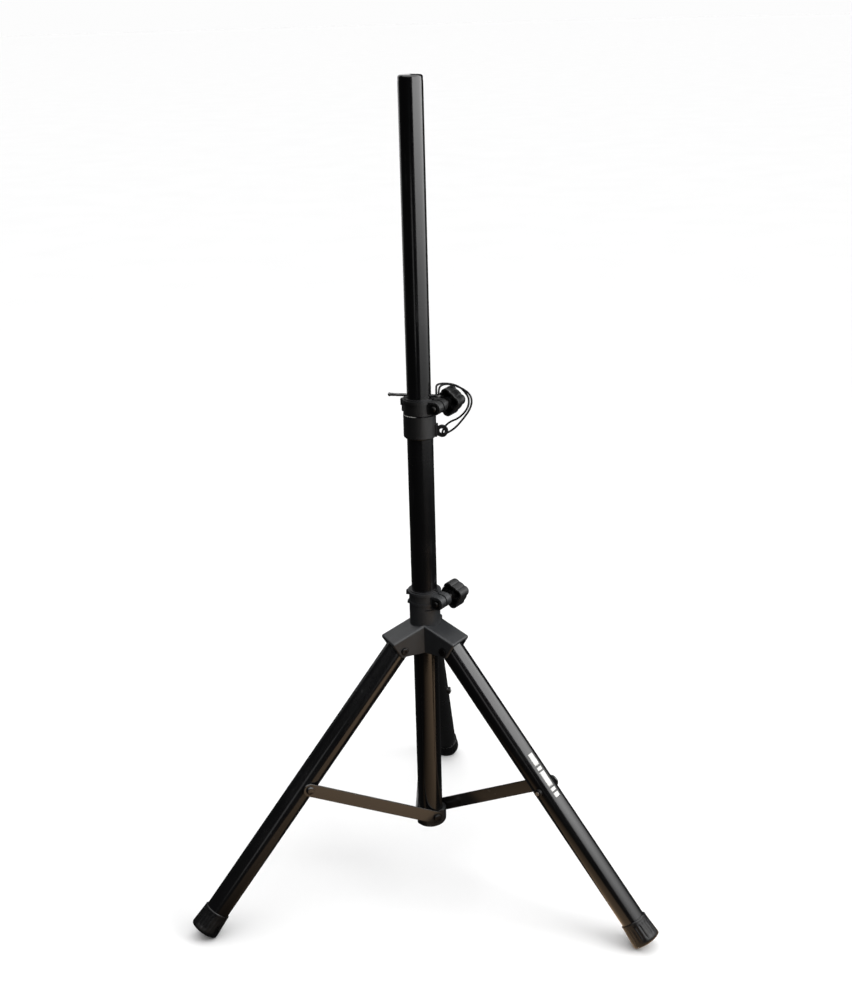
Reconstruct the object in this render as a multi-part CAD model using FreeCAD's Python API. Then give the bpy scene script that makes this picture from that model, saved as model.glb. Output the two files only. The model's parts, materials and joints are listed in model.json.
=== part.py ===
import FreeCAD, Part
import math
import os

# Telescoping tripod stand for a loudspeaker. Millimetres, +Z up, floor at z = 0.
# The pole axis is vertical and passes through (0, POLE_Y).
POLE_Y = -93.5
LEG_AZIMUTHS = {"rear": 90.0, "left": 210.0, "right": 330.0}
EAR_AZIMUTH = 330.0
UPPER_EAR_AZIMUTH = 336.0
RIB_AZIMUTH = 178.0
RIB_HALF = 3.0

# Column
TUBE_R = 19.05
TUBE_WALL = 1.2
TUBE_Z0 = 90.0
TUBE_Z1 = 764.0

# Inner pole
POLE_R = 17.5
POLE_WALL = 1.6
POLE_Z0 = 99.0
POLE_Z1 = 1222.0
POLE_TOP = 1230.0
POLE_LINE_Z = 797.0
PIN_PITCH = 95.0
PIN_HOLES = 7
PIN_HOLE_R = 3.1

# Upper clamp
SLEEVE_R = 23.7
SLEEVE_Z0 = 727.0
COLLAR_R = 23.4
SLIT_Z = 762.0
CLAMP_TOP = 784.5
UPPER_SCREW_Z = 775.0
UPPER_SCREW_R = 31.0

# Locking pin
PIN_AZIMUTH = 352.0
PIN_Z = 788.7
PIN_R = 2.25
PIN_LEFT = 46.0
PIN_EYE = 27.0

# Tripod hub
HUB_R = 23.2
HUB_BORE = 20.6
HUB_BUSH_R = 19.35
HUB_Z0 = 395.0
HUB_Z1 = 488.5
HUB_SLIT_Z = 462.5
LOWER_SCREW_Z = 475.0
LOWER_SCREW_R = 30.0
ARM_HALF = 21.5
ARM_CAVITY = 18.6
ARM_TOP = ((0.0, 443.6), (65.7, 418.8))
ARM_WEB = 3.0
ARM_ROUND = 3.3
ARM_TOE = (51.6, 395.0)
CAVITY_R = 26.2

# Legs
LEG_ANGLE = 40.6
PIVOT_R = 45.0
PIVOT_Z = 404.0
LEG_R = 18.0
LEG_WALL = 1.5
LEG_NOSE_R = 17.8
LEG_END = 516.0
LEG_TUBE_END = 509.0
BRACE_AT = 250.4
BOOT_LEN = 36.0

# Braces
LOWER_PIVOT_Z = 106.5
BRACE_T0 = 20.2
SPACER_Y1 = BRACE_T0 - 0.35
BRACE_THICK = 3.0
BRACE_HALF = 10.0

# Lower hub
LOWER_R = 24.7
LOWER_Z0 = 83.0
LOWER_Z1 = 116.0
LOWER_FLAT = 19.9

# Fasteners
PIVOT_BOLT_R = 3.0
PIVOT_HOLE_R = 3.1
STUD_R = 4.0
SEAT_R = 6.3
SEAT_DEPTH = 0.9
EAR_HALF = 13.0
NUT_HALF = 6.5
KNOB_START = 24.0
KNOB_DEPTH = 24.0
KNOB_BORE = 17.0
UPPER_KNOB_TURN = 40.0
HUB_KNOB_TURN = 28.0

# Lanyard: a doubled cord from the pin's eye through the lug on the sleeve
CORD_R = 1.5
LUG_R = 9.0
LUG_HOLE_R = 3.9
LUG_AT = 32.5
LUG_Z = 737.0
CORD_POINTS = [
    (28.4, -4.0, 786.8),
    (28.4, -4.0, 796.0),
    (30.1, 11.7, 800.3),
    (41.3, 21.2, 800.0),
    (56.2, 17.0, 796.5),
    (70.0, 9.1, 790.5),
    (75.8, 5.6, 781.0),
    (73.6, 2.4, 768.5),
    (63.3, -0.5, 754.0),
    (48.7, -5.8, 738.5),
    (31.4, -13.4, 733.0),
    (34.9, 3.7, 740.3),
    (42.9, 3.6, 748.0),
    (56.9, 4.0, 753.5),
    (69.2, 4.0, 767.0),
    (71.7, 7.9, 780.0),
    (66.0, 14.0, 788.6),
    (55.8, 21.9, 796.3),
    (39.4, 26.0, 799.5),
    (24.0, 15.7, 801.0),
    (25.1, -3.5, 797.0),
    (25.1, -3.5, 786.8),
]


def vec(x, y, z):
    return FreeCAD.Vector(x, y, z)


def cyl_z(radius, z0, z1, x=0.0, y=0.0):
    return Part.makeCylinder(radius, z1 - z0, vec(x, y, z0), vec(0, 0, 1))


def cyl_y(radius, y0, y1, x=0.0, z=0.0):
    return Part.makeCylinder(radius, y1 - y0, vec(x, y0, z), vec(0, 1, 0))


def cyl_x(radius, x0, x1, y=0.0, z=0.0):
    return Part.makeCylinder(radius, x1 - x0, vec(x0, y, z), vec(1, 0, 0))


def box(x0, x1, y0, y1, z0, z1):
    return Part.makeBox(x1 - x0, y1 - y0, z1 - z0, vec(x0, y0, z0))


def ring_z(outer, inner, z0, z1):
    return cyl_z(outer, z0, z1).cut(cyl_z(inner, z0 - 1.0, z1 + 1.0))


def revolve_z(points):
    """Solid of revolution about Z from (r, z) points."""
    wire = Part.makePolygon([vec(r, 0, z) for r, z in points + points[:1]])
    return Part.Face(wire).revolve(vec(0, 0, 0), vec(0, 0, 1), 360)


def about_pole(shape, azimuth):
    """Turn a shape built on +X to its azimuth and put it on the pole axis."""
    out = shape.copy()
    out.rotate(vec(0, 0, 0), vec(0, 0, 1), azimuth)
    out.translate(vec(0, POLE_Y, 0))
    return out


def on_leg(shape):
    """Tilt a shape built along -Z from the leg pivot to the leg's spread."""
    out = shape.copy()
    out.rotate(vec(0, 0, 0), vec(0, 1, 0), -LEG_ANGLE)
    out.translate(vec(PIVOT_R, 0, PIVOT_Z))
    return out


def save(shape, node):
    shape.exportStep("parts/" + node + ".step")
    print(node, "solids", len(shape.Solids), "valid", shape.isValid(), "volume", round(shape.Volume, 1))


def round_edges(shape, radius, wanted):
    """Fillet the edges whose midpoint passes the test."""
    edges = []
    for edge in shape.Edges:
        mid = edge.valueAt((edge.FirstParameter + edge.LastParameter) / 2.0)
        if wanted(mid, edge):
            edges.append(edge)
    return shape.makeFillet(radius, edges)


def brace_end():
    """Centre of the leg-to-brace pivot in the leg's plane, as (r, z)."""
    a = math.radians(LEG_ANGLE)
    return PIVOT_R + BRACE_AT * math.sin(a), PIVOT_Z - BRACE_AT * math.cos(a)


# Column and lower hub


def make_outer_tube():
    return ring_z(TUBE_R, TUBE_R - TUBE_WALL, TUBE_Z0, TUBE_Z1)


def make_lower_hub():
    body = cyl_z(LOWER_R, LOWER_Z0, LOWER_Z1)
    body = round_edges(body, 2.5, lambda p, e: abs(p.z - LOWER_Z1) < 0.01 and e.Length > 50)
    body = round_edges(body, 1.5, lambda p, e: abs(p.z - LOWER_Z0) < 0.01 and e.Length > 50)
    body = body.cut(cyl_z(TUBE_R, TUBE_Z0, LOWER_Z1 + 1.0))
    for azimuth in LEG_AZIMUTHS.values():
        flat = box(-40, 40, LOWER_FLAT, 40, LOWER_Z0 - 1, LOWER_Z1 + 1)
        flat.rotate(vec(0, 0, 0), vec(0, 0, 1), azimuth)
        body = body.cut(flat)
    return body


def make_tube_plug():
    """Disc that closes the tube's foot."""
    return cyl_z(TUBE_R - TUBE_WALL, TUBE_Z0, TUBE_Z0 + 4.0)


# Inner pole


def make_inner_pole():
    body = ring_z(POLE_R, POLE_R - POLE_WALL, POLE_Z0, POLE_Z1)
    for k in range(PIN_HOLES):
        hole = cyl_x(PIN_HOLE_R, -30, 30, 0, PIN_Z - k * PIN_PITCH)
        hole.rotate(vec(0, 0, 0), vec(0, 0, 1), PIN_AZIMUTH)
        body = body.cut(hole)
    return body.cut(ring_z(POLE_R + 1.0, POLE_R - 0.3, POLE_LINE_Z, POLE_LINE_Z + 1.5))


def make_pole_cap():
    head = cyl_z(POLE_R - 0.3, POLE_Z1, POLE_TOP)
    head = round_edges(head, 3.5, lambda p, e: abs(p.z - POLE_TOP) < 0.01 and e.Length > 50)
    return head.fuse(cyl_z(POLE_R - POLE_WALL, POLE_Z1 - 18.0, POLE_Z1))


def make_pole_guide():
    flange = cyl_z(TUBE_R - TUBE_WALL - 0.05, POLE_Z0 - 4.0, POLE_Z0)
    stem = cyl_z(POLE_R - POLE_WALL, POLE_Z0, POLE_Z0 + 22.0)
    return flange.fuse(stem).cut(cyl_z(12.0, POLE_Z0 - 5.0, POLE_Z0 + 23.0))


# Clamps


def ear(screw_r, screw_z, radius):
    """Rounded lug on +X with its screw across it."""
    root = box(16.0, screw_r, -EAR_HALF, EAR_HALF, screw_z - radius, screw_z + radius)
    lug = root.fuse(cyl_y(radius, -EAR_HALF, EAR_HALF, screw_r, screw_z)).removeSplitter()
    return round_edges(lug, 1.2, lambda p, e: abs(abs(p.y) - EAR_HALF) < 0.01 and p.x > 16.5)


def ear_cuts(screw_r, screw_z, z0, z1):
    """Split, screw hole and nut pocket of a clamp ear."""
    split = box(10.0, 60.0, -1.3, 1.3, z0, z1)
    hole = cyl_y(STUD_R + 0.3, -EAR_HALF - 5, EAR_HALF + 5, screw_r, screw_z)
    half = NUT_HALF + 0.1
    pocket = box(
        screw_r - half, screw_r + half, -EAR_HALF - 5, -EAR_HALF + 3.2, screw_z - half, screw_z + half
    )
    return split.fuse([hole, pocket])


def make_nut(screw_r, screw_z):
    half = NUT_HALF
    nut = box(
        screw_r - half, screw_r + half, -EAR_HALF - 1.8, -EAR_HALF + 3.2, screw_z - half, screw_z + half
    )
    return nut.cut(cyl_y(STUD_R + 0.1, -40, 40, screw_r, screw_z))


def make_stud(screw_r, screw_z):
    y0 = -EAR_HALF - 3.5
    body = cyl_y(STUD_R, y0, KNOB_START + KNOB_BORE, screw_r, screw_z)
    tip = [edge for edge in body.Edges if edge.BoundBox.YMax < y0 + 0.01]
    return body.makeChamfer(0.6, tip)


def lobed(grow, y0, y1):
    """Four-lobed prism along Y."""
    body = cyl_y(17.0 + grow, y0, y1)
    for k in range(4):
        a = math.radians(45 + 90 * k)
        lobe = cyl_y(8.0 + grow, y0, y1, 12.6 * math.cos(a), 12.6 * math.sin(a))
        body = body.fuse(lobe)
    return body.removeSplitter()


def make_knob(screw_r, screw_z, turned):
    """Hollow-backed four-lobed hand knob, turned on its screw by some degrees."""
    y0 = KNOB_START
    y1 = KNOB_START + KNOB_DEPTH
    body = lobed(0.0, y0, y1)
    body = round_edges(body, 4.0, lambda p, e: abs(p.y - y1) < 0.01)
    body = round_edges(body, 0.9, lambda p, e: abs(p.y - y0) < 0.01)
    hollow = lobed(-2.8, y0 - 1.0, y1 - 6.0)
    hollow = hollow.cut(cyl_y(7.2, y0 - 2.0, y1))
    for turn in (0.0, 90.0):
        rib = box(-30, 30, y0 + 2.0, y1, -1.2, 1.2)
        rib.rotate(vec(0, 0, 0), vec(0, 1, 0), turn)
        hollow = hollow.cut(rib)
    body = body.cut(hollow)
    body = body.cut(cyl_y(STUD_R, y0 - 1.0, y0 + KNOB_BORE))
    body.rotate(vec(0, 0, 0), vec(0, 1, 0), turned)
    body.translate(vec(screw_r, 0, screw_z))
    return body


def rib_at(azimuth, r1, z0, z1):
    """Small upright rib on a collar."""
    rib = box(20.0, r1, -RIB_HALF, RIB_HALF, z0, z1)
    rib = round_edges(rib, 0.8, lambda p, e: p.x > r1 - 0.01 and abs(p.y) < 0.01)
    rib.rotate(vec(0, 0, 0), vec(0, 0, 1), azimuth)
    return rib


def make_upper_clamp():
    """Sleeve fixed on the tube with a split collar above it that grips the pole. Built with its ear on +X."""
    sleeve = cyl_z(SLEEVE_R, SLEEVE_Z0, SLIT_Z - 1.0)
    foot = [edge for edge in sleeve.Edges if edge.BoundBox.ZMax < SLEEVE_Z0 + 0.01]
    sleeve = sleeve.makeChamfer(2.2, foot)
    collar = cyl_z(COLLAR_R, SLIT_Z - 1.0, CLAMP_TOP)
    collar = collar.fuse(cyl_z(COLLAR_R + 1.2, CLAMP_TOP - 5.0, CLAMP_TOP))
    body = sleeve.fuse([collar, ear(UPPER_SCREW_R, UPPER_SCREW_Z, 9.5)])
    turn = RIB_AZIMUTH - UPPER_EAR_AZIMUTH
    body = body.fuse(rib_at(turn, COLLAR_R + 3.4, CLAMP_TOP - 9.5, CLAMP_TOP))
    body = body.fuse(rib_at(turn, COLLAR_R + 1.8, SLIT_Z + 4.0, CLAMP_TOP - 9.5))
    body = body.cut(cyl_z(TUBE_R, SLEEVE_Z0 - 1.0, TUBE_Z1))
    body = body.cut(cyl_z(19.2, TUBE_Z1 - 0.1, CLAMP_TOP + 5.0))
    body = body.cut(ear_cuts(UPPER_SCREW_R, UPPER_SCREW_Z, SLIT_Z, CLAMP_TOP + 5.0))
    return body.cut(box(-9.0, 60.0, -40.0, 40.0, SLIT_Z - 1.0, SLIT_Z + 1.0))


def make_clamp_liner():
    """Split plastic liner between the upper collar and the pole, with a lip on top."""
    body = ring_z(19.2, POLE_R + 0.1, TUBE_Z1 + 0.5, CLAMP_TOP)
    body = body.fuse(ring_z(21.6, POLE_R + 0.1, CLAMP_TOP, CLAMP_TOP + 1.4))
    return body.cut(box(0.0, 40.0, -1.0, 1.0, TUBE_Z1, CLAMP_TOP + 5.0))


# Tripod hub


def arm_top_z(r):
    (r0, z0), (r1, z1) = ARM_TOP
    return z0 + (z1 - z0) * (r - r0) / (r1 - r0)


def is_arm_edge(p, edge):
    """The arm's two long top edges, its tip's side edges and the edge across its tip."""
    side = abs(abs(p.y) - ARM_HALF) < 0.01 and p.x > 5 and p.z > HUB_Z0 + 3
    tip = abs(p.y) < 0.01 and p.x > ARM_TOP[1][0] - 3
    return side or tip


def make_arm():
    """Solid arm of the hub along +X, with its top sloping down."""
    points = [(0.0, HUB_Z0), ARM_TOE, ARM_TOP[1], ARM_TOP[0]]
    wire = Part.makePolygon([vec(r, -ARM_HALF, z) for r, z in points + points[:1]])
    arm = Part.Face(wire).extrude(vec(0, 2 * ARM_HALF, 0))
    return round_edges(arm, ARM_ROUND, is_arm_edge)


def make_arm_cavity():
    x1 = 90.0
    z_in = arm_top_z(CAVITY_R) - ARM_WEB * 1.07
    z_out = arm_top_z(x1) - ARM_WEB * 1.07
    points = [(CAVITY_R, 360.0), (x1, 360.0), (x1, z_out), (CAVITY_R, z_in)]
    wire = Part.makePolygon([vec(r, -ARM_CAVITY, z) for r, z in points + points[:1]])
    return Part.Face(wire).extrude(vec(0, 2 * ARM_CAVITY, 0))


def make_hub():
    """Sliding hub with three channel arms, and a split clamp collar above them. Ear on +X."""
    body = cyl_z(HUB_R, HUB_Z0, HUB_Z1)
    body = body.fuse(cyl_z(HUB_R + 1.9, HUB_Z1 - 4.5, HUB_Z1))
    body = body.fuse(cyl_z(HUB_R + 0.9, 468.5, 472.5))
    arms = [make_arm() for _ in LEG_AZIMUTHS]
    cavities = []
    for arm, azimuth in zip(arms, LEG_AZIMUTHS.values()):
        turn = azimuth - EAR_AZIMUTH
        arm.rotate(vec(0, 0, 0), vec(0, 0, 1), turn)
        cavity = make_arm_cavity()
        hole = cyl_y(PIVOT_BOLT_R + 0.05, -40, 40, PIVOT_R, PIVOT_Z)
        seats = [
            cyl_y(SEAT_R, ARM_HALF - SEAT_DEPTH, 40, PIVOT_R, PIVOT_Z),
            cyl_y(SEAT_R, -40, -ARM_HALF + SEAT_DEPTH, PIVOT_R, PIVOT_Z),
        ]
        cut = cavity.fuse([hole] + seats)
        cut.rotate(vec(0, 0, 0), vec(0, 0, 1), turn)
        cavities.append(cut)
    body = body.fuse(arms)
    body = body.fuse(ear(LOWER_SCREW_R, LOWER_SCREW_Z, 10.5))
    body = body.fuse(rib_at(RIB_AZIMUTH - EAR_AZIMUTH, HUB_R + 4.2, HUB_Z1 - 8.0, HUB_Z1 - 1.5))
    body = body.fuse(rib_at(RIB_AZIMUTH - EAR_AZIMUTH, HUB_R + 2.6, HUB_Z1 - 22.5, HUB_Z1 - 18.0))
    body = body.cut(cavities)
    body = body.cut(cyl_z(HUB_BORE, HUB_Z0 - 1, HUB_Z1 + 1))
    body = body.cut(ear_cuts(LOWER_SCREW_R, LOWER_SCREW_Z, HUB_SLIT_Z, HUB_Z1 + 5.0))
    return body.cut(box(13.0, 60.0, -40.0, 40.0, HUB_SLIT_Z - 1.0, HUB_SLIT_Z + 1.0))


def make_hub_bush():
    """Split plastic bush that runs on the column, with a lip on top of the hub."""
    body = ring_z(HUB_BORE, HUB_BUSH_R, HUB_Z0 + 2.0, HUB_Z1)
    body = body.fuse(ring_z(22.6, HUB_BUSH_R, HUB_Z1, HUB_Z1 + 1.5))
    return body.cut(box(0.0, 40.0, -1.0, 1.0, HUB_Z0, HUB_Z1 + 5.0))


def make_pivot_bolt():
    """Button-head bolt across an arm, on the arm's +Y side."""
    y_head = ARM_HALF - SEAT_DEPTH
    head = cyl_y(5.6, y_head, y_head + 3.4, PIVOT_R, PIVOT_Z)
    head = round_edges(head, 1.6, lambda p, e: abs(p.y - y_head - 3.4) < 0.01)
    shank = cyl_y(PIVOT_BOLT_R, -ARM_HALF - 2.6, y_head, PIVOT_R, PIVOT_Z)
    socket = hex_prism(2.0, y_head + 1.6, y_head + 4.0, PIVOT_R, PIVOT_Z)
    return head.fuse(shank).cut(socket)


def hex_prism(apothem, y0, y1, x, z):
    """Six-sided prism along Y."""
    radius = apothem / math.cos(math.radians(30))
    points = []
    for k in range(7):
        a = math.radians(60 * k)
        points.append(vec(x + radius * math.cos(a), y0, z + radius * math.sin(a)))
    return Part.Face(Part.makePolygon(points)).extrude(vec(0, y1 - y0, 0))


def make_pivot_nut():
    y1 = -ARM_HALF + SEAT_DEPTH
    nut = hex_prism(5.0, y1 - 4.0, y1, PIVOT_R, PIVOT_Z)
    return nut.cut(cyl_y(PIVOT_BOLT_R, -60, 60, PIVOT_R, PIVOT_Z))


# Legs


def leg_keep():
    """Region a leg's top may fill: round about the pivot above it, open below it."""
    nose = cyl_y(LEG_NOSE_R, -30, 30)
    return nose.fuse(box(-30, 30, -30, 30, -600, -2.0))


def make_leg_tube():
    body = cyl_z(LEG_R, -LEG_TUBE_END, 30).common(leg_keep())
    body = body.cut(cyl_z(LEG_R - LEG_WALL, -LEG_TUBE_END - 1, 40))
    body = body.cut(cyl_y(PIVOT_HOLE_R, -30, 30))
    return body.cut(cyl_y(PIVOT_BOLT_R, -30, 30, 0, -BRACE_AT))


def make_leg_plug():
    body = cyl_z(LEG_R - LEG_WALL, -30, 30).common(leg_keep())
    body = body.cut(cyl_z(11.0, -31, -14))
    return body.cut(cyl_y(PIVOT_HOLE_R, -30, 30))


def make_boot():
    """Rubber boot, square to the leg, with its low rim cut level with the floor."""
    end = -LEG_END
    top = end + BOOT_LEN
    core = LEG_R - LEG_WALL - 3.0
    wall = [(LEG_R, top), (19.3, top), (20.0, top - 1.2), (20.4, top - 14.0), (21.6, end + 3.4)]
    sole = [(21.2, end + 1.3), (20.0, end + 0.2), (18.6, end), (0.0, end)]
    inside = [(0.0, end + 6.0), (core, end + 6.0), (core, -LEG_TUBE_END), (LEG_R, -LEG_TUBE_END)]
    return revolve_z(wall + sole + inside)


def make_leg_bolt():
    """Through-bolt at the leg end of a brace."""
    return cyl_y(PIVOT_BOLT_R, -LEG_R - 4.6, SPACER_Y1, 0, -BRACE_AT)


def make_leg_nut():
    """Domed nut on the leg's -Y side, seated on the tube."""
    nut = cyl_y(6.0, -LEG_R - 3.4, -LEG_R + 2.2, 0, -BRACE_AT)
    nut = round_edges(nut, 1.2, lambda p, e: p.y < -LEG_R - 3.0)
    nut = nut.cut(cyl_z(LEG_R, -BRACE_AT - 20, -BRACE_AT + 20))
    return nut.cut(cyl_y(PIVOT_BOLT_R, -60, 60, 0, -BRACE_AT))


def make_leg_spacer():
    """Washer between the tube and the brace."""
    body = cyl_y(6.5, LEG_R - 2.2, SPACER_Y1, 0, -BRACE_AT)
    body = body.cut(cyl_z(LEG_R, -BRACE_AT - 20, -BRACE_AT + 20))
    return body.cut(cyl_y(PIVOT_BOLT_R, -60, 60, 0, -BRACE_AT))


# Braces


def make_brace():
    """Flat bar with full-round ends, from the lower hub to the leg."""
    r1, z1 = brace_end()
    length = math.hypot(r1, z1 - LOWER_PIVOT_Z)
    bar = box(0, length, BRACE_T0, BRACE_T0 + BRACE_THICK, -BRACE_HALF, BRACE_HALF)
    bar = bar.fuse(cyl_y(BRACE_HALF, BRACE_T0, BRACE_T0 + BRACE_THICK))
    bar = bar.fuse(cyl_y(BRACE_HALF, BRACE_T0, BRACE_T0 + BRACE_THICK, length)).removeSplitter()
    faces = (BRACE_T0, BRACE_T0 + BRACE_THICK)
    bar = round_edges(bar, 0.5, lambda p, e: min(abs(p.y - y) for y in faces) < 0.01)
    bar = bar.cut(cyl_y(PIVOT_HOLE_R, 0, 40))
    bar = bar.cut(cyl_y(PIVOT_BOLT_R, 0, 40, length))
    return tilt_brace(bar)


def tilt_brace(shape):
    r1, z1 = brace_end()
    angle = math.degrees(math.atan2(z1 - LOWER_PIVOT_Z, r1))
    out = shape.copy()
    out.rotate(vec(0, 0, 0), vec(0, 1, 0), -angle)
    out.translate(vec(0, 0, LOWER_PIVOT_Z))
    return out


def make_brace_rivet():
    r1, z1 = brace_end()
    length = math.hypot(r1, z1 - LOWER_PIVOT_Z)
    y1 = BRACE_T0 + BRACE_THICK
    head = cyl_y(6.2, y1, y1 + 3.2, length)
    head = round_edges(head, 2.0, lambda p, e: abs(p.y - y1 - 3.2) < 0.01)
    return tilt_brace(head.fuse(cyl_y(PIVOT_BOLT_R, BRACE_T0, y1, length)))


def make_lower_screw():
    """Shoulder screw that holds a brace to the lower hub."""
    y_seat = LOWER_FLAT
    y1 = BRACE_T0 + BRACE_THICK + 0.3
    z = LOWER_PIVOT_Z
    shank = cyl_y(PIVOT_BOLT_R, y_seat, y1, 0, z)
    head = cyl_y(6.2, y1, y1 + 3.4, 0, z)
    head = round_edges(head, 1.8, lambda p, e: abs(p.y - y1 - 3.4) < 0.01)
    return head.fuse(shank)


# Locking pin


def make_pin():
    """Straight pin across the pole, with a rounded tip and a flat eye for its cord. Built along X."""
    rod = cyl_x(PIN_R, -PIN_LEFT + 2.0, PIN_EYE - 4.0, 0, PIN_Z)
    tip = Part.makeSphere(2.8, vec(-PIN_LEFT + 2.8, 0, PIN_Z))
    eye = cyl_z(5.4, PIN_Z - 1.6, PIN_Z + 1.6, PIN_EYE)
    eye = round_edges(eye, 0.7, lambda p, e: e.Length > 15)
    return rod.fuse([tip, eye]).cut(cyl_z(3.7, PIN_Z - 5, PIN_Z + 5, PIN_EYE))


# Lanyard


def make_cord_lug():
    """Flat lug on the sleeve with a round hole for the cord. Built with its plate on +X."""
    plate = cyl_y(LUG_R, -1.7, 1.7, LUG_AT, LUG_Z)
    plate = plate.fuse(box(SLEEVE_R - 3.0, LUG_AT, -1.7, 1.7, LUG_Z - 7.0, LUG_Z + 7.0)).removeSplitter()
    plate = plate.fuse(box(SLEEVE_R - 3.0, SLEEVE_R + 2.0, -5.5, 5.5, LUG_Z - 8.0, LUG_Z + 10.0))
    plate = plate.cut(cyl_y(LUG_HOLE_R, -5, 5, LUG_AT, LUG_Z))
    return plate.cut(cyl_z(SLEEVE_R, SLEEVE_Z0 - 5, SLIT_Z))


def cord_path():
    """Open path of straight runs joined by tangent arcs, each arc set by its shorter run."""
    points = [vec(x, y + POLE_Y, z) for x, y, z in CORD_POINTS]
    edges = []
    start = points[0]
    for before, corner, after in zip(points, points[1:], points[2:]):
        a = (before - corner).normalize()
        b = (after - corner).normalize()
        reach = 0.45 * min((before - corner).Length, (after - corner).Length)
        turn = math.pi - a.getAngle(b)
        radius = reach / math.tan(turn / 2.0)
        p0 = corner + a * reach
        p1 = corner + b * reach
        to_centre = (a + b).normalize()
        mid = corner + to_centre * (math.hypot(radius, reach) - radius)
        edges.append(Part.makeLine(start, p0))
        edges.append(Part.Arc(p0, mid, p1).toShape())
        start = p1
    edges.append(Part.makeLine(start, points[-1]))
    return Part.Wire(edges)


def make_lanyard():
    path = cord_path()
    start = path.Edges[0]
    direction = start.tangentAt(start.FirstParameter)
    section = Part.Wire([Part.makeCircle(CORD_R, start.valueAt(start.FirstParameter), direction)])
    cord = path.makePipeShell([section], True, False)
    print("lanyard length", round(path.Length, 1), "volume", round(cord.Volume, 1))
    print("section times length", round(math.pi * CORD_R**2 * path.Length, 1))
    return cord


def export_column():
    save(about_pole(make_outer_tube(), 0), "outer_tube")
    save(about_pole(make_lower_hub(), 0), "lower_hub")
    save(about_pole(make_tube_plug(), 0), "tube_foot_plug")
    screws = [about_pole(make_lower_screw(), a) for a in LEG_AZIMUTHS.values()]
    save(Part.makeCompound(screws), "lower_hub_screws")
    save(about_pole(make_cord_lug(), PIN_AZIMUTH), "cord_lug")
    save(make_lanyard(), "lanyard")


def export_pole():
    save(about_pole(make_inner_pole(), 0), "inner_pole")
    save(about_pole(make_pole_cap(), 0), "pole_top_cap")
    save(about_pole(make_pole_guide(), 0), "pole_guide")
    save(about_pole(make_pin(), PIN_AZIMUTH), "locking_pin")


def export_clamps():
    save(about_pole(make_upper_clamp(), UPPER_EAR_AZIMUTH), "upper_clamp")
    save(about_pole(make_clamp_liner(), UPPER_EAR_AZIMUTH), "upper_clamp_liner")
    save(about_pole(make_hub(), EAR_AZIMUTH), "tripod_hub")
    save(about_pole(make_hub_bush(), EAR_AZIMUTH), "hub_bush")
    clamps = {
        "upper": (UPPER_SCREW_R, UPPER_SCREW_Z, UPPER_EAR_AZIMUTH, UPPER_KNOB_TURN),
        "hub": (LOWER_SCREW_R, LOWER_SCREW_Z, EAR_AZIMUTH, HUB_KNOB_TURN),
    }
    for name, (r, z, azimuth, turned) in clamps.items():
        save(about_pole(make_nut(r, z), azimuth), name + "_clamp_nut")
        save(about_pole(make_stud(r, z), azimuth), name + "_knob_stud")
        save(about_pole(make_knob(r, z, turned), azimuth), name + "_knob")
    bolts = [about_pole(make_pivot_bolt(), a) for a in LEG_AZIMUTHS.values()]
    nuts = [about_pole(make_pivot_nut(), a) for a in LEG_AZIMUTHS.values()]
    save(Part.makeCompound(bolts), "leg_pivot_bolts")
    save(Part.makeCompound(nuts), "leg_pivot_nuts")


def export_legs():
    makers = {
        "tube": make_leg_tube,
        "plug": make_leg_plug,
        "boot": make_boot,
        "brace_bolt": make_leg_bolt,
        "brace_nut": make_leg_nut,
        "spacer": make_leg_spacer,
    }
    above_floor = box(-1000, 1000, -1000, 1000, 0, 1000)
    for side, azimuth in LEG_AZIMUTHS.items():
        for name, make in makers.items():
            shape = on_leg(make())
            if name == "boot":
                shape = shape.common(above_floor)
            save(about_pole(shape, azimuth), "leg_" + side + "_" + name)
        save(about_pole(make_brace(), azimuth), "brace_" + side + "_bar")
        save(about_pole(make_brace_rivet(), azimuth), "brace_" + side + "_rivet")


os.makedirs("parts", exist_ok=True)
export_column()
export_pole()
export_clamps()
export_legs()
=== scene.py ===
import json
import math

import bpy
from mathutils import Matrix, Vector


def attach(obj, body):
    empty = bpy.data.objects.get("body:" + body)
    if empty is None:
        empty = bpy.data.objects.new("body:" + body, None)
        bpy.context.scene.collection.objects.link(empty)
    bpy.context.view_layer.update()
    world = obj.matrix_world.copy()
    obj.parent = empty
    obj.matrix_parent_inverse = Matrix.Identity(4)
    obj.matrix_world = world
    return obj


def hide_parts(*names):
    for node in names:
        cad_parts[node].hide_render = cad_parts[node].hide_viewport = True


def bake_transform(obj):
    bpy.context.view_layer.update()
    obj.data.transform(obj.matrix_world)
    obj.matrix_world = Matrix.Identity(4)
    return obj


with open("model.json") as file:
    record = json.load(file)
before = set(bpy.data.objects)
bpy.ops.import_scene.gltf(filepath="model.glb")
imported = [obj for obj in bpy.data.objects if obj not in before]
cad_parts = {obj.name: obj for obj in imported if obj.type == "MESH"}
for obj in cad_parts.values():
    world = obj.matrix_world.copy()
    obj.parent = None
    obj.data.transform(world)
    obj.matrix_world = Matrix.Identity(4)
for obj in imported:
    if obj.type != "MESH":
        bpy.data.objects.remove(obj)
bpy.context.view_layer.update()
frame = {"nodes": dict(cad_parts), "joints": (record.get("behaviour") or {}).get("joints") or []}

MM = 0.001

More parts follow.
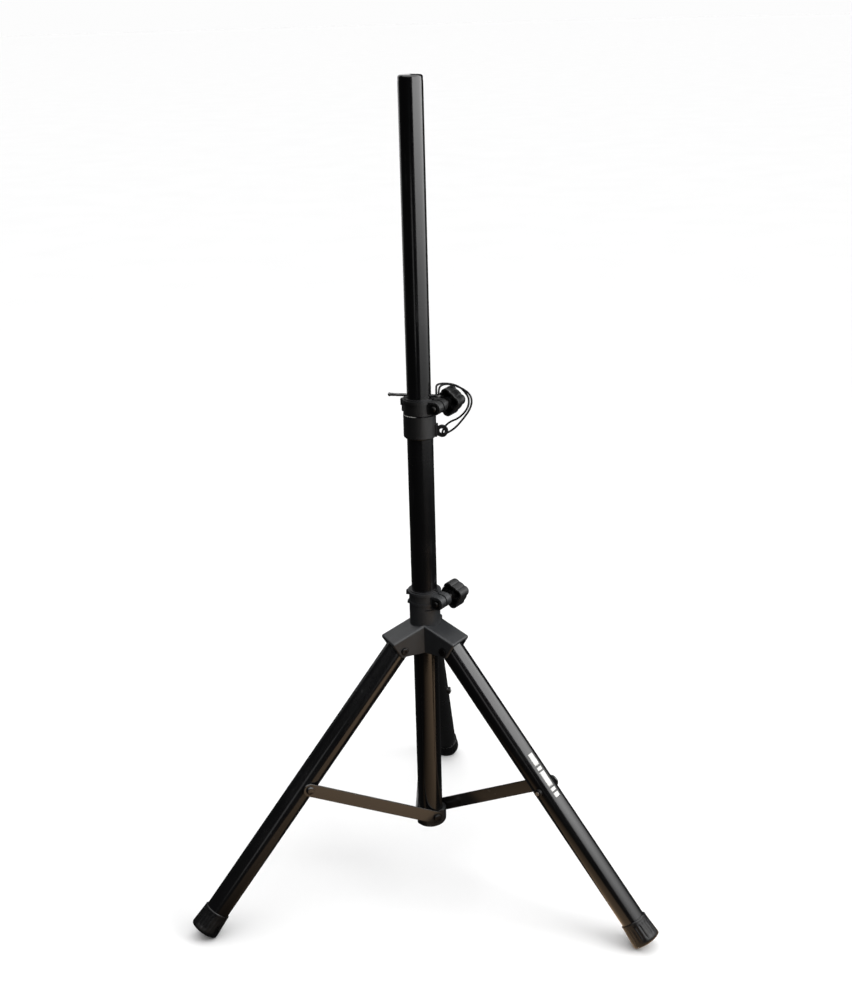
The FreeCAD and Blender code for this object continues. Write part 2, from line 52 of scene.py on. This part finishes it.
# The part's own dimensions, in metres
POLE_Y = -0.0935
LEG_AZIMUTHS = {"rear": 90.0, "left": 210.0, "right": 330.0}
LEG_ANGLE = 40.6
LEG_PIVOT = (0.045, 0.0, 0.404)
LEG_R = 0.018
LEG_END = 0.516
BOOT_LEN = 0.036
SOLE_DOME = 0.004
FLUTE_DEPTH = 0.00055
STUD_R = 0.004
THREAD_PITCH = 0.00125
THREAD_DEPTH = 0.00055
SLIT_Z = 0.762
# Pale ring in the upper collar's slot: a painted highlight, sized to the slot
HIGHLIGHT_RING_R = 0.0223
HIGHLIGHT_RING_HALF_WIDTH = 0.0013
HIGHLIGHT_RING_HALF_HEIGHT = 0.0009
HUB_FOOT_R = 0.0247
HUB_FOOT_FLAT = 0.0198
HUB_FOOT_LOW = 0.0865
HUB_FOOT_HIGH = 0.116
HUB_FOOT_ROUND = 0.012
BORE_R = 0.01925
BORE_FLOOR = 0.0898

# Counts and shape exponents
FLUTES = 22
BOWL = 2.6

# Printed bars: where each starts and ends along the right leg, and how far round it they reach
MARK_BARS = ((0.196, 0.216), (0.219, 0.224), (0.227, 0.252), (0.255, 0.260), (0.263, 0.270))
MARK_MIDDLE = -17.0
MARK_HALF_TURN = 14.0
MARK_LIFT = 0.00012

# Camera
CAMERA_AT = Vector((0.1748, -2.09152, 1.33683))
CAMERA_YAW = -0.08427
CAMERA_PITCH = 0.339
CAMERA_ROLL = -0.027
CAMERA_LENS = 52.19

# Lanyard: the cord's route about the pole axis
CORD_DIAMETER = 0.003
CORD_ROUTE = [
    (0.0284, -0.0040, 0.7868),
    (0.0284, -0.0040, 0.7960),
    (0.0301, 0.0117, 0.8003),
    (0.0413, 0.0212, 0.8000),
    (0.0562, 0.0170, 0.7965),
    (0.0700, 0.0091, 0.7905),
    (0.0758, 0.0056, 0.7810),
    (0.0736, 0.0024, 0.7685),
    (0.0633, -0.0005, 0.7540),
    (0.0487, -0.0058, 0.7385),
    (0.0314, -0.0134, 0.7330),
    (0.0349, 0.0037, 0.7403),
    (0.0429, 0.0036, 0.7480),
    (0.0569, 0.0040, 0.7535),
    (0.0692, 0.0040, 0.7670),
    (0.0717, 0.0079, 0.7800),
    (0.0660, 0.0140, 0.7886),
    (0.0558, 0.0219, 0.7963),
    (0.0394, 0.0260, 0.7995),
    (0.0240, 0.0157, 0.8010),
    (0.0251, -0.0035, 0.7970),
    (0.0251, -0.0035, 0.7868),
]


def add_camera():
    """Camera at the photograph's place, from its yaw, pitch and roll in radians."""
    forward = Vector((
        math.sin(CAMERA_YAW) * math.cos(CAMERA_PITCH),
        math.cos(CAMERA_YAW) * math.cos(CAMERA_PITCH),
        -math.sin(CAMERA_PITCH),
    ))
    level = Vector((math.cos(CAMERA_YAW), -math.sin(CAMERA_YAW), 0.0))
    above = level.cross(forward)
    c, s = math.cos(CAMERA_ROLL), math.sin(CAMERA_ROLL)
    right = c * level + s * above
    up = c * above - s * level
    data = bpy.data.cameras.new("camera")
    data.lens = CAMERA_LENS
    data.sensor_width = 36.0
    data.clip_end = 500.0
    camera = bpy.data.objects.new("camera", data)
    turn = Matrix((right, up, -forward)).transposed().to_4x4()
    camera.matrix_world = Matrix.Translation(CAMERA_AT) @ turn
    bpy.context.scene.collection.objects.link(camera)
    bpy.context.scene.camera = camera


def add_mesh(name, points, faces, uvs=None):
    """A smooth-shaded mesh piece; uvs holds one (u, v) per face corner."""
    mesh = bpy.data.meshes.new(name)
    mesh.from_pydata([tuple(p) for p in points], [], faces)
    if uvs:
        layer = mesh.uv_layers.new(name="along")
        for corner, uv in zip(layer.data, uvs):
            corner.uv = uv
    mesh.validate()
    mesh.polygons.foreach_set("use_smooth", [True] * len(mesh.polygons))
    piece = bpy.data.objects.new(name, mesh)
    bpy.context.scene.collection.objects.link(piece)
    return piece


def grid_tube(name, rings):
    """Closed skin over rings of points, each ring the same count."""
    count = len(rings[0])
    points = [p for ring in rings for p in ring]
    faces, uvs = [], []
    for i in range(len(rings) - 1):
        for k in range(count):
            k1 = (k + 1) % count
            faces.append((i * count + k, i * count + k1, (i + 1) * count + k1, (i + 1) * count + k))
            uvs += [(i, k), (i, k + 1), (i + 1, k + 1), (i + 1, k)]
    faces.append(tuple(reversed(range(count))))
    faces.append(tuple(range((len(rings) - 1) * count, len(rings) * count)))
    uvs += [(0.0, 0.0)] * (2 * count)
    return add_mesh(name, points, faces, uvs)


def cord_line():
    """Points along the cord's own smooth spline."""
    data = bpy.data.curves.new("lanyard_line", "CURVE")
    data.dimensions = "3D"
    data.resolution_u = 24
    spline = data.splines.new("NURBS")
    spline.points.add(len(CORD_ROUTE) - 1)
    for point, (x, y, z) in zip(spline.points, CORD_ROUTE):
        point.co = (x, y + POLE_Y, z, 1.0)
    spline.order_u = 3
    spline.use_endpoint_u = True
    line = bpy.data.objects.new("lanyard_line", data)
    bpy.context.scene.collection.objects.link(line)
    mesh = bpy.data.meshes.new_from_object(line)
    points = [v.co.copy() for v in mesh.vertices]
    bpy.data.objects.remove(line)
    return points


def even_line(points, step):
    """The same line with its points an even distance apart."""
    lengths = [(b - a).length for a, b in zip(points, points[1:])]
    total = sum(lengths)
    count = round(total / step)
    out, i, done = [points[0]], 0, 0.0
    for k in range(1, count):
        want = total * k / count
        while done + lengths[i] < want:
            done += lengths[i]
            i += 1
        out.append(points[i].lerp(points[i + 1], (want - done) / lengths[i]))
    return out + [points[-1]], total


def add_lanyard():
    """Braided cord, doubled: pin eye, over the knob, through the lug and back."""
    line, length = even_line(cord_line(), 0.45 * MM)
    sides, strands, braid_pitch, relief = 24, 4, 7.0 * MM, 0.05
    tangents = [(b - a).normalized() for a, b in zip(line, line[1:])]
    tangents.append(tangents[-1])
    across = tangents[0].orthogonal().normalized()
    rings = []
    for i, (centre, tangent) in enumerate(zip(line, tangents)):
        across = (across - across.dot(tangent) * tangent).normalized()
        other = tangent.cross(across)
        turn = 2 * math.pi * i * length / len(line) / braid_pitch
        ring = []
        for k in range(sides):
            a = 2 * math.pi * k / sides
            over = max(math.cos(strands * (a + turn)), math.cos(strands * (a - turn)))
            radius = CORD_DIAMETER / 2 * (1.0 - relief * (1.0 - over))
            ring.append(centre + radius * (math.cos(a) * across + math.sin(a) * other))
        rings.append(ring)
    cord = grid_tube("lanyard_braid", rings)
    print("lanyard length", round(length, 4))
    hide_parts("lanyard")
    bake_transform(cord)
    return cord


add_camera()
lanyard = add_lanyard()


# Materials


def link(tree, source, target):
    """Join two sockets."""
    tree.links.new(source, target)


def noise_value(tree, scale, detail=3.0, stretch=(1.0, 1.0, 1.0), turn=0.0):
    """Noise in the piece's own space, stretched and turned."""
    where = tree.nodes.new("ShaderNodeTexCoord")
    mapping = tree.nodes.new("ShaderNodeMapping")
    mapping.inputs["Scale"].default_value = stretch
    mapping.inputs["Rotation"].default_value = (0.0, 0.0, turn)
    texture = tree.nodes.new("ShaderNodeTexNoise")
    texture.inputs["Scale"].default_value = scale
    texture.inputs["Detail"].default_value = detail
    link(tree, where.outputs["Object"], mapping.inputs["Vector"])
    link(tree, mapping.outputs["Vector"], texture.inputs["Vector"])
    return texture.outputs["Fac"]


def mapped(tree, value, low_in, high_in, low_out, high_out):
    """A value taken from one range to another."""
    node = tree.nodes.new("ShaderNodeMapRange")
    link(tree, value, node.inputs["Value"])
    limits = {"From Min": low_in, "From Max": high_in, "To Min": low_out, "To Max": high_out}
    for name, number in limits.items():
        node.inputs[name].default_value = number
    return node.outputs["Result"]


def mixed(tree, factor, first, second):
    """Colour between two colours or colour sockets."""
    node = tree.nodes.new("ShaderNodeMix")
    node.data_type = "RGBA"
    link(tree, factor, node.inputs["Factor"])
    for index, colour in ((6, first), (7, second)):
        if isinstance(colour, tuple):
            node.inputs[index].default_value = (*colour, 1.0)
        else:
            link(tree, colour, node.inputs[index])
    return node.outputs[2]


def bumped(tree, height, depth, under=None):
    """Normal raised by a height, over another normal if there is one."""
    node = tree.nodes.new("ShaderNodeBump")
    node.inputs["Distance"].default_value = depth
    link(tree, height, node.inputs["Height"])
    if under:
        link(tree, under, node.inputs["Normal"])
    return node.outputs["Normal"]


def multiplied(tree, first, second):
    """Product of two values."""
    node = tree.nodes.new("ShaderNodeMath")
    node.operation = "MULTIPLY"
    link(tree, first, node.inputs[0])
    link(tree, second, node.inputs[1])
    return node.outputs[0]


def new_material(name, **sockets):
    """A Principled material with the named sockets set."""
    material = bpy.data.materials.new(name)
    material.use_nodes = True
    shader = material.node_tree.nodes["Principled BSDF"]
    for socket, value in sockets.items():
        shader.inputs[socket.replace("_", " ")].default_value = value
    return material, material.node_tree, shader.inputs


def paint(name, colour, rough, scuff, stretch=(1.0, 1.0, 1.0), scuffs=0.30, coat_ior=1.5):
    """Gloss black powder coat with orange peel, dull patches and fine rubbed scratches."""
    material, tree, inputs = new_material(
        name, Specular_IOR_Level=0.25, Coat_Weight=0.8, Coat_Roughness=0.07, Coat_IOR=coat_ior
    )
    patches = noise_value(tree, 14.0, 4.0)
    peel = noise_value(tree, 620.0, 2.0)
    scratches = noise_value(tree, 180.0, 5.0, stretch)
    lines = mapped(tree, scratches, 0.63, 0.70, 0.0, 1.0)
    worn = multiplied(tree, lines, mapped(tree, patches, 0.45, 0.65, 0.0, scuffs))
    shade = mixed(tree, patches, colour, tuple(1.5 * c for c in colour))
    link(tree, mixed(tree, worn, shade, scuff), inputs["Base Color"])
    link(tree, mapped(tree, patches, 0.3, 0.7, rough - 0.06, rough + 0.08), inputs["Roughness"])
    wave = bumped(tree, peel, 0.035 * MM)
    link(tree, bumped(tree, worn, 0.05 * MM, wave), inputs["Normal"])
    link(tree, wave, inputs["Coat Normal"])
    return material


def plastic(name, colour, rough, grain, depth):
    """Moulded plastic: fine grain, faint flow marks, rubbed high spots."""
    material, tree, inputs = new_material(name, Specular_IOR_Level=0.5)
    flow = noise_value(tree, 28.0, 5.0, (1.0, 1.0, 0.35))
    fine = noise_value(tree, grain, 3.0)
    rubbed = mapped(tree, noise_value(tree, 75.0, 6.0), 0.56, 0.72, 0.0, 0.5)
    shade = mixed(tree, flow, colour, tuple(1.45 * c for c in colour))
    link(tree, mixed(tree, rubbed, shade, tuple(1.9 * c for c in colour)), inputs["Base Color"])
    link(tree, mapped(tree, flow, 0.3, 0.7, rough - 0.07, rough + 0.09), inputs["Roughness"])
    under = bumped(tree, fine, depth)
    link(tree, bumped(tree, flow, 0.25 * MM, under), inputs["Normal"])
    return material


def rubber(name, colour):
    """Moulded rubber with a fine pebble and pale dust in its pores."""
    material, tree, inputs = new_material(name, Specular_IOR_Level=0.4)
    pebble = noise_value(tree, 1500.0, 3.0)
    dust = noise_value(tree, 60.0, 6.0)
    pale = mapped(tree, dust, 0.48, 0.75, 0.0, 0.45)
    link(tree, mixed(tree, pale, colour, (0.030, 0.027, 0.024)), inputs["Base Color"])
    link(tree, mapped(tree, dust, 0.3, 0.7, 0.22, 0.34), inputs["Roughness"])
    under = bumped(tree, pebble, 0.05 * MM)
    link(tree, bumped(tree, dust, 0.25 * MM, under), inputs["Normal"])
    return material


def metal(name, dark, light, rough):
    """Plated steel with brushed streaks and small stains."""
    material, tree, inputs = new_material(name, Metallic=1.0)
    streaks = noise_value(tree, 900.0, 4.0, (1.0, 1.0, 0.15), 0.4)
    stains = noise_value(tree, 110.0, 5.0)
    link(tree, mixed(tree, mapped(tree, stains, 0.35, 0.65, 0.0, 1.0), dark, light), inputs["Base Color"])
    link(tree, mapped(tree, streaks, 0.3, 0.7, rough - 0.08, rough + 0.12), inputs["Roughness"])
    link(tree, bumped(tree, streaks, 0.03 * MM), inputs["Normal"])
    return material


def fabric(name, colour):
    """Braided polyester: fine filaments over the braid's own relief."""
    material, tree, inputs = new_material(name, Specular_IOR_Level=0.15, Sheen_Weight=0.04)
    fibres = noise_value(tree, 2600.0, 2.0)
    tone = noise_value(tree, 400.0, 3.0)
    link(tree, mixed(tree, tone, colour, tuple(2.2 * c for c in colour)), inputs["Base Color"])
    link(tree, mapped(tree, fibres, 0.3, 0.7, 0.62, 0.85), inputs["Roughness"])
    link(tree, bumped(tree, fibres, 0.12 * MM), inputs["Normal"])
    return material


ALONG_POLE = (1.0, 1.0, 0.03)
BLACK = (0.0022, 0.0022, 0.0025)
# Brace black: the paint's own black made lighter and warmer, a painted sheen standing in for warm
# reflected light
BRACE_BLACK_WITH_PAINTED_SHEEN = (0.0065, 0.0062, 0.0060)
SCUFF = (0.060, 0.060, 0.062)
finishes = {
    "column_paint": paint("column_paint", BLACK, 0.24, SCUFF, ALONG_POLE, 0.40),
    "pole_paint": paint("pole_paint", BLACK, 0.22, SCUFF, ALONG_POLE, 0.45),
    "leg_paint": paint("leg_paint", BLACK, 0.24, SCUFF),
    "brace_paint": paint("brace_paint", BRACE_BLACK_WITH_PAINTED_SHEEN, 0.30, (0.09, 0.085, 0.08), coat_ior=1.9),
    "hub_plastic": plastic("hub_plastic", (0.0125, 0.0135, 0.0150), 0.44, 1700.0, 0.10 * MM),
    "knob_plastic": plastic("knob_plastic", (0.0048, 0.0049, 0.0052), 0.42, 1900.0, 0.08 * MM),
    "bush_plastic": plastic("bush_plastic", (0.008, 0.008, 0.009), 0.38, 2100.0, 0.05 * MM),
    "boot_rubber": rubber("boot_rubber", (0.0050, 0.0050, 0.0053)),
    "cord_fabric": fabric("cord_fabric", (0.003, 0.003, 0.0033)),
    "dark_steel": metal("dark_steel", (0.016, 0.016, 0.017), (0.040, 0.039, 0.038), 0.38),
    "bright_steel": metal("bright_steel", (0.36, 0.36, 0.37), (0.55, 0.55, 0.56), 0.30),
}
worn_steel = metal("worn_steel", (0.03, 0.03, 0.031), (0.16, 0.16, 0.16), 0.24)
printed = plastic("printed", (0.62, 0.62, 0.60), 0.5, 1500.0, 0.02 * MM)
# Pale plastic for the ring in the collar's slot, a painted highlight
painted_highlight_plastic = plastic("painted_highlight_plastic", (0.55, 0.55, 0.53), 0.35, 1200.0, 0.03 * MM)


def wear(piece, slot):
    """Give a piece the finish of a slot."""
    piece.data.materials.clear()
    piece.data.materials.append(finishes[slot])


for name, part in frame["nodes"].items():
    for place in part.material_slots:
        place.material = finishes[place.material.name.split(".")[0]]
    if "rivet" in name or name == "locking_pin":
        part.material_slots[0].material = worn_steel
frame["nodes"]["upper_clamp"].material_slots[0].material = finishes["knob_plastic"]
frame["nodes"]["pole_top_cap"].material_slots[0].material = finishes["pole_paint"]
wear(lanyard, "cord_fabric")


# Detailed pieces


def on_leg(azimuth):
    """Matrix that puts a shape built along -Z from the leg pivot on its leg."""
    about_pole = Matrix.Translation((0.0, POLE_Y, 0.0)) @ Matrix.Rotation(math.radians(azimuth), 4, "Z")
    tilt = Matrix.Rotation(math.radians(-LEG_ANGLE), 4, "Y")
    return about_pole @ Matrix.Translation(LEG_PIVOT) @ tilt


def boot_profile():
    """(radius, distance along the leg, flute depth) from the boot's mouth round its wall to its sole."""
    top = LEG_END - BOOT_LEN
    outline = [(18.1, 6.0, 0), (18.1, 0.5, 0), (18.5, 0.0, 0), (19.3, 0.0, 0), (19.8, 0.4, 0)]
    outline += [(20.0, 1.2, 0), (20.0, 3.4, 0), (19.9, 4.4, 0)]
    steps = 24
    for k in range(steps + 1):
        share = k / steps
        flute = min(1.0, 6.0 * share, 6.0 * (1.0 - share))
        outline.append((20.0 + 1.5 * share, 5.0 + 25.5 * share, flute))
    outline += [(21.6, 31.6, 0), (21.6, 33.2, 0), (21.3, 34.6, 0), (20.7, 35.6, 0)]
    rim, dome = 20.2, SOLE_DOME / MM
    for k in range(1, 12):
        share = k / 12
        outline.append((rim * (1.0 - share), 36.0 + dome * (1.0 - (1.0 - share) ** 2), 0))
    return [(r * MM, top + t * MM, flute) for r, t, flute in outline]


def add_boot(side, azimuth):
    """Fluted rubber boot with a domed sole, its low rim worn level with the floor."""
    place = on_leg(azimuth)
    sides = 176
    rings = []
    for radius, along, flute in boot_profile():
        ring = []
        for k in range(sides):
            a = 2 * math.pi * k / sides
            valley = 0.5 - 0.5 * math.cos(FLUTES * a)
            r = radius - FLUTE_DEPTH * flute * valley ** 2
            point = place @ Vector((r * math.cos(a), r * math.sin(a), -along))
            point.z = max(point.z, 0.0)
            ring.append(point)
        rings.append(ring)
    boot = grid_tube("boot_" + side, rings)
    wear(boot, "boot_rubber")
    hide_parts("leg_" + side + "_boot")
    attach(boot, "leg_" + side)


def add_leg_mark():
    """Plain printed bars on the right leg, a hair proud of its paint."""
    place = on_leg(LEG_AZIMUTHS["right"])
    middle, half_turn = math.radians(MARK_MIDDLE), math.radians(MARK_HALF_TURN)
    r = LEG_R + MARK_LIFT
    across, steps = 6, 10
    points, faces = [], []
    for start, end in MARK_BARS:
        base = len(points)
        for i in range(steps + 1):
            for k in range(across + 1):
                a = middle + half_turn * (2.0 * k / across - 1.0)
                along = start + (end - start) * i / steps
                points.append(place @ Vector((r * math.cos(a), r * math.sin(a), -along)))
        for i in range(steps):
            for k in range(across):
                corner = base + i * (across + 1) + k
                faces.append((corner, corner + across + 1, corner + across + 2, corner + 1))
    mark = add_mesh("leg_mark", points, faces)
    mark.modifiers.new("print", "SOLIDIFY").thickness = 0.08 * MM
    mark.data.materials.append(printed)
    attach(mark, "leg_right")


def add_painted_highlight_ring():
    """Painted highlight: a pale ring piece in the slot under the upper collar, thinning out round the
    front, standing in for light caught on the slot's ledge.
    """
    start, end, steps = math.radians(196.0), math.radians(262.0), 40
    rings = []
    for i in range(steps + 1):
        share = i / steps
        a = start + (end - start) * share
        half = HIGHLIGHT_RING_HALF_HEIGHT * (1.0 - share) ** 0.6 + 0.03 * MM
        ring = []
        for k in range(12):
            b = 2 * math.pi * k / 12
            r = HIGHLIGHT_RING_R + HIGHLIGHT_RING_HALF_WIDTH * math.cos(b)
            ring.append(Vector((r * math.cos(a), POLE_Y + r * math.sin(a), SLIT_Z + half * math.sin(b))))
        rings.append(ring)
    highlight_piece = grid_tube("painted_highlight_ring", rings)
    highlight_piece.data.materials.append(painted_highlight_plastic)
    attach(highlight_piece, "column")


def hub_foot_profile():
    """(radius, height) of the lower hub from its mouth round its wall to its rounded foot."""
    high, rim = HUB_FOOT_HIGH, 2.5 * MM
    outline = [(BORE_R, BORE_FLOOR), (BORE_R, high - 0.6 * MM), (19.8 * MM, high)]
    for k in range(7):
        a = math.radians(15.0 * k)
        outline.append((HUB_FOOT_R - (1.0 - math.sin(a)) * rim, high - (1.0 - math.cos(a)) * rim))
    steps = 22
    for k in range(steps + 1):
        drop = math.sin(math.pi / 2 * k / steps)
        share = max(0.0, 1.0 - drop ** BOWL) ** (1.0 / BOWL)
        outline.append((max(0.4 * MM, HUB_FOOT_R * share), HUB_FOOT_LOW + HUB_FOOT_ROUND * (1.0 - drop)))
    return outline


def add_hub_foot():
    """Lower hub with three flats for the braces, its foot rounded like a bowl."""
    sides = 180
    normals = [math.radians(azimuth + 90.0) for azimuth in LEG_AZIMUTHS.values()]
    rings = []
    for radius, height in hub_foot_profile():
        ring = []
        for k in range(sides):
            a = 2 * math.pi * k / sides
            facing = max(math.cos(a - normal) for normal in normals)
            r = min(radius, HUB_FOOT_FLAT / facing)
            ring.append(Vector((r * math.cos(a), POLE_Y + r * math.sin(a), height)))
        rings.append(ring)
    foot = grid_tube("hub_foot", list(reversed(rings)))
    wear(foot, "knob_plastic")
    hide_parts("lower_hub")
    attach(foot, "column")


def add_thread(name, node, joint_name, body):
    """Threaded screw along a knob's own turning axis, as long as its plain CAD stud."""
    joint = next(j for j in frame["joints"] if j["name"] == joint_name)
    anchor, axis = Vector(joint["pos_m"]), Vector(joint["axis"]).normalized()
    reach = [(v.co - anchor).dot(axis) for v in frame["nodes"][node].data.vertices]
    low, high = min(reach), max(reach)
    across = axis.orthogonal().normalized()
    other = axis.cross(across)
    sides, per_turn = 32, 8
    count = round((high - low) / THREAD_PITCH * per_turn)
    rings = []
    for i in range(count + 1):
        along = low + (high - low) * i / count
        fade = min(1.0, i / per_turn, (count - i) / per_turn)
        ring = []
        for k in range(sides):
            a = 2 * math.pi * k / sides
            phase = (along / THREAD_PITCH - k / sides) % 1.0
            crest = abs(2.0 * phase - 1.0)
            r = STUD_R - THREAD_DEPTH * (1.0 - fade * crest)
            centre = anchor + along * axis
            ring.append(centre + r * (math.cos(a) * across + math.sin(a) * other))
        rings.append(ring)
    screw = grid_tube(name, rings)
    wear(screw, "dark_steel")
    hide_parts(node)
    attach(screw, body)


for side, azimuth in LEG_AZIMUTHS.items():
    add_boot(side, azimuth)
add_leg_mark()
add_painted_highlight_ring()
add_hub_foot()
for knob in ("upper_knob", "hub_knob"):
    add_thread(knob + "_screw", knob + "_stud", knob + "_turn", knob)


# Floor and light


def add_floor():
    """Pale matt floor out to the horizon; the tubes don't mirror it."""
    half = 150.0
    corners = [(-half, -half), (half, -half), (half, half), (-half, half)]
    floor = add_mesh("floor", [(x, y, 0.0) for x, y in corners], [(0, 1, 2, 3)])
    material, tree, inputs = new_material("floor_paint", Roughness=0.9, Specular_IOR_Level=0.1)
    tone = noise_value(tree, 3.0, 3.0)
    link(tree, mixed(tree, tone, (0.86, 0.86, 0.86), (0.90, 0.90, 0.90)), inputs["Base Color"])
    floor.data.materials.append(material)
    floor.visible_glossy = False
    floor.visible_diffuse = False


def glowing(name, colour):
    """A material that only glows, its tree, and the socket for its strength."""
    material = bpy.data.materials.new(name)
    material.use_nodes = True
    tree = material.node_tree
    tree.nodes.clear()
    glow = tree.nodes.new("ShaderNodeEmission")
    glow.inputs["Color"].default_value = (*colour, 1.0)
    out = tree.nodes.new("ShaderNodeOutputMaterial")
    link(tree, glow.outputs[0], out.inputs["Surface"])
    return material, tree, glow.inputs["Strength"]


def constant_math(tree, operation, value, number):
    """A value combined with a fixed number."""
    node = tree.nodes.new("ShaderNodeMath")
    node.operation = operation
    node.inputs[1].default_value = number
    link(tree, value, node.inputs[0])
    return node.outputs[0]


def add_card(name, points, faces, colour, strength, axis, dark_at, full_at, power):
    """Studio reflector that only shows in glossy surfaces, brightening along one axis."""
    card = add_mesh(name, points, faces)
    card.visible_camera = False
    card.visible_diffuse = False
    card.visible_shadow = False
    card.visible_transmission = False
    material, tree, gain = glowing(name, colour)
    where = tree.nodes.new("ShaderNodeTexCoord")
    split = tree.nodes.new("ShaderNodeSeparateXYZ")
    link(tree, where.outputs["Object"], split.inputs["Vector"])
    ramp = mapped(tree, split.outputs[axis], dark_at, full_at, 0.0, 1.0)
    curve = constant_math(tree, "POWER", ramp, power)
    link(tree, constant_math(tree, "MULTIPLY", curve, strength), gain)
    card.data.materials.append(material)


def add_curved_card(name, start, end, strength):
    """Tall curved reflector round the column from one azimuth to another, brighter towards its top."""
    radius, steps = 1.6, 40
    points, faces = [], []
    for i in range(steps + 1):
        a = math.radians(start) + (math.radians(end) - math.radians(start)) * i / steps
        x, y = radius * math.cos(a), POLE_Y + radius * math.sin(a)
        points += [(x, y, 0.02), (x, y, 2.4)]
        if i:
            faces.append((2 * i - 2, 2 * i, 2 * i + 1, 2 * i - 1))
    add_card(name, points, faces, (1.0, 1.0, 1.0), strength, "Z", 0.0, 1.1, 1.9)


def add_backdrop():
    """White dome far behind everything, seen by the camera only."""
    radius, tall, steps = 60.0, 90.0, 64
    points, faces = [], []
    for i in range(steps):
        a = 2 * math.pi * i / steps
        points += [(radius * math.cos(a), radius * math.sin(a), z) for z in (-1.0, tall)]
        j = (i + 1) % steps
        faces.append((2 * i, 2 * j, 2 * j + 1, 2 * i + 1))
    dome = add_mesh("backdrop", points, faces)
    dome.visible_diffuse = False
    dome.visible_glossy = False
    dome.visible_shadow = False
    material = glowing("backdrop_white", (0.98, 0.98, 0.98))[0]
    dome.data.materials.append(material)


def add_area(name, at, towards, width, height, power):
    """Soft rectangular lamp that the camera doesn't see."""
    data = bpy.data.lights.new(name, "AREA")
    data.shape = "RECTANGLE"
    data.size = width
    data.size_y = height
    data.energy = power
    lamp = bpy.data.objects.new(name, data)
    lamp.location = at
    aim = (Vector(towards) - Vector(at)).to_track_quat("-Z", "Y")
    lamp.rotation_euler = aim.to_euler()
    lamp.visible_camera = False
    bpy.context.scene.collection.objects.link(lamp)


def add_light():
    """Faint world, a broad overhead glow and two soft lamps."""
    world = bpy.data.worlds.new("studio")
    world.use_nodes = True
    world.node_tree.nodes["Background"].inputs["Color"].default_value = (1.0, 1.0, 1.0, 1.0)
    world.node_tree.nodes["Background"].inputs["Strength"].default_value = 0.02
    bpy.context.scene.world = world
    data = bpy.data.lights.new("overhead", "SUN")
    data.angle = math.radians(100.0)
    data.energy = 3.6
    sun = bpy.data.objects.new("overhead", data)
    sun.rotation_euler = (math.radians(6.0), math.radians(6.0), 0.0)
    bpy.context.scene.collection.objects.link(sun)
    add_area("right_window", (1.75, -0.75, 1.45), (0.0, -0.1, 0.9), 1.2, 1.0, 22.0)
    add_area("front_fill", (-0.45, -2.0, 0.62), (-0.15, -0.2, 0.3), 0.35, 0.5, 0.35)


add_floor()
add_backdrop()
add_curved_card("window_card", -69.0, 30.0, 4.2)
add_curved_card("rear_card", 95.0, 150.0, 0.8)
floor_patch = [(-0.30, -0.85, 0.001), (0.85, -0.85, 0.001), (0.85, -0.22, 0.001), (-0.30, -0.22, 0.001)]
add_card("warm_card", floor_patch, [(0, 1, 2, 3)], (1.0, 0.70, 0.45), 1.4, "X", -0.30, 0.6, 1.0)
add_light()
bpy.context.scene.view_settings.view_transform = "Standard"
